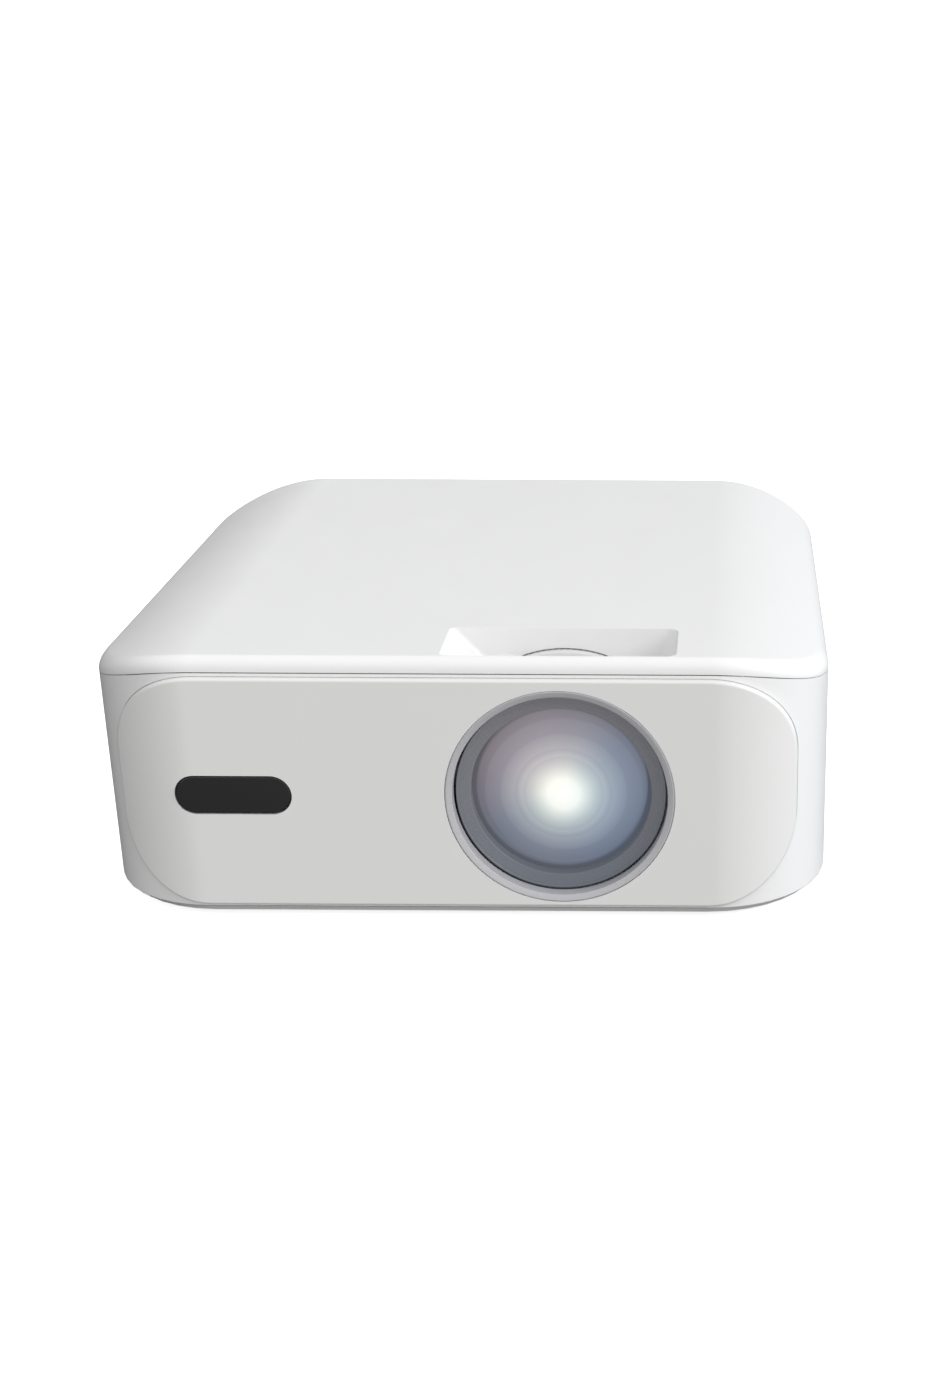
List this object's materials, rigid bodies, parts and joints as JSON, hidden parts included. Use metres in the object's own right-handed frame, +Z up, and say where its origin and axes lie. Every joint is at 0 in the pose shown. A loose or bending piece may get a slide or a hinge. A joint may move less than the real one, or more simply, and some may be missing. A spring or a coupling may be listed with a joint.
{
  "type": "home projector",
  "caption": "Compact white home projector with a large front lens, an infrared window, a focus ring in a top finger recess, vents and rear sockets.",
  "frame": {"origin": "centre of the footprint, on the surface that the feet stand on", "axes": "-Y out of the lens, +X to the right as seen from the front, +Z up"},
  "size_m": [0.226, 0.2118, 0.085],
  "materials": {
    "shell_white": "satin white moulded plastic",
    "panel_white": "fine matte off-white plastic",
    "trim_silver": "silver grey paint on plastic",
    "ir_gloss_black": "polished infrared-pass plastic",
    "lens_glass": "coated optical glass",
    "lens_black": "matte dark grey moulded plastic",
    "frame_black": "black moulded plastic",
    "sheet_clear": "clear optical sheet",
    "lcd_dark": "dark liquid crystal panel",
    "cast_aluminium": "bare aluminium",
    "led_phosphor": "yellow phosphor over the LED die",
    "steel_plain": "plated steel",
    "brass_plain": "turned brass",
    "rubber_dark": "soft dark rubber",
    "board_green": "green circuit board",
    "part_black": "dark electronic part",
    "winding_yellow": "taped transformer winding",
    "foam_grey": "open-cell filter foam"
  },
  "bodies": {
    "projector_body": {"top_cover": "shell_white", "main_case": "shell_white", "base_cover": "shell_white", "front_panel": "panel_white", "lens_trim_ring": "trim_silver", "ir_window": "ir_gloss_black", "lens_mount": "lens_black", "projection_chamber": "frame_black", "optics_frame": "frame_black", "fan_frame": "frame_black", "blower_housing": "frame_black", "left_speaker": "frame_black", "right_speaker": "frame_black", "audio_jack": "frame_black", "power_inlet": "frame_black", "front_fresnel": "sheet_clear", "rear_fresnel": "sheet_clear", "heat_glass": "sheet_clear", "lcd_panel": "lcd_dark", "reflector_cone": "cast_aluminium", "led_board": "cast_aluminium", "led_heat_sink": "cast_aluminium", "chip_heat_sink": "cast_aluminium", "power_heat_sink": "cast_aluminium", "led_chip": "led_phosphor", "case_screw_1": "steel_plain", "case_screw_2": "steel_plain", "case_screw_3": "steel_plain", "case_screw_4": "steel_plain", "hdmi_socket": "steel_plain", "usb_socket": "steel_plain", "guide_pin": "steel_plain", "tripod_bush": "brass_plain", "adjuster_insert": "brass_plain", "rubber_foot_1": "rubber_dark", "rubber_foot_2": "rubber_dark", "rubber_foot_3": "rubber_dark", "rubber_foot_4": "rubber_dark", "main_board": "board_green", "power_board": "board_green", "ir_receiver": "board_green", "smoothing_capacitor": "part_black", "power_switch": "part_black", "transformer": "winding_yellow", "dust_filter": "foam_grey"},
    "focus_ring_body": {"focus_ring": "trim_silver", "focus_pin": "steel_plain"},
    "focus_barrel_body": {"lens_barrel": "lens_black", "lens_retaining_ring": "lens_black", "front_lens": "lens_glass", "middle_lens": "lens_glass", "rear_lens": "lens_glass", "middle_spacer": "lens_black", "rear_spacer": "lens_black"},
    "fan_rotor_body": {"fan_rotor": "frame_black"},
    "blower_wheel_body": {"blower_wheel": "frame_black"},
    "power_button_body": {"power_button": "trim_silver"},
    "adjuster_pad_body": {"adjuster_pad": "rubber_dark"},
    "adjuster_screw_body": {"adjuster_screw": "frame_black"}
  },
  "joints": [
    {"name": "focus_turn", "type": "hinge", "parent": "projector_body", "child": "focus_ring_body", "pos_m": [0.0315, -0.0735, 0.0415], "axis": [0, 1, 0], "range_deg": [-35.1, 35.1]},
    {"name": "focus_slide", "type": "slide", "parent": "projector_body", "child": "focus_barrel_body", "axis": [0, -1, 0], "range_m": [-0.0035, 0.0035]},
    {"name": "fan_spin", "type": "hinge", "parent": "projector_body", "child": "fan_rotor_body", "pos_m": [0.0315, 0.0935, 0.0415], "axis": [0, 1, 0], "continuous": true},
    {"name": "blower_spin", "type": "hinge", "parent": "projector_body", "child": "blower_wheel_body", "pos_m": [-0.056, 0.025, 0.016], "axis": [0, 0, 1], "continuous": true},
    {"name": "button_press", "type": "slide", "parent": "projector_body", "child": "power_button_body", "axis": [0, -1, 0], "range_m": [0, 0.0015], "stiffness_N_per_m": 600, "springref_m": -0.001},
    {"name": "foot_extend", "type": "slide", "parent": "projector_body", "child": "adjuster_pad_body", "axis": [0, 0, -1], "range_m": [0, 0.012]},
    {"name": "foot_turn", "type": "hinge", "parent": "adjuster_pad_body", "child": "adjuster_screw_body", "pos_m": [-0.02, -0.084, 0.01], "axis": [0, 0, 1], "range_deg": [0, 3602]}
  ],
  "couplings": [
    {"joint": "focus_turn", "follows": "focus_slide", "rad_per_m": 174.53},
    {"joint": "foot_turn", "follows": "foot_extend", "rad_per_m": 5236}
  ]
}
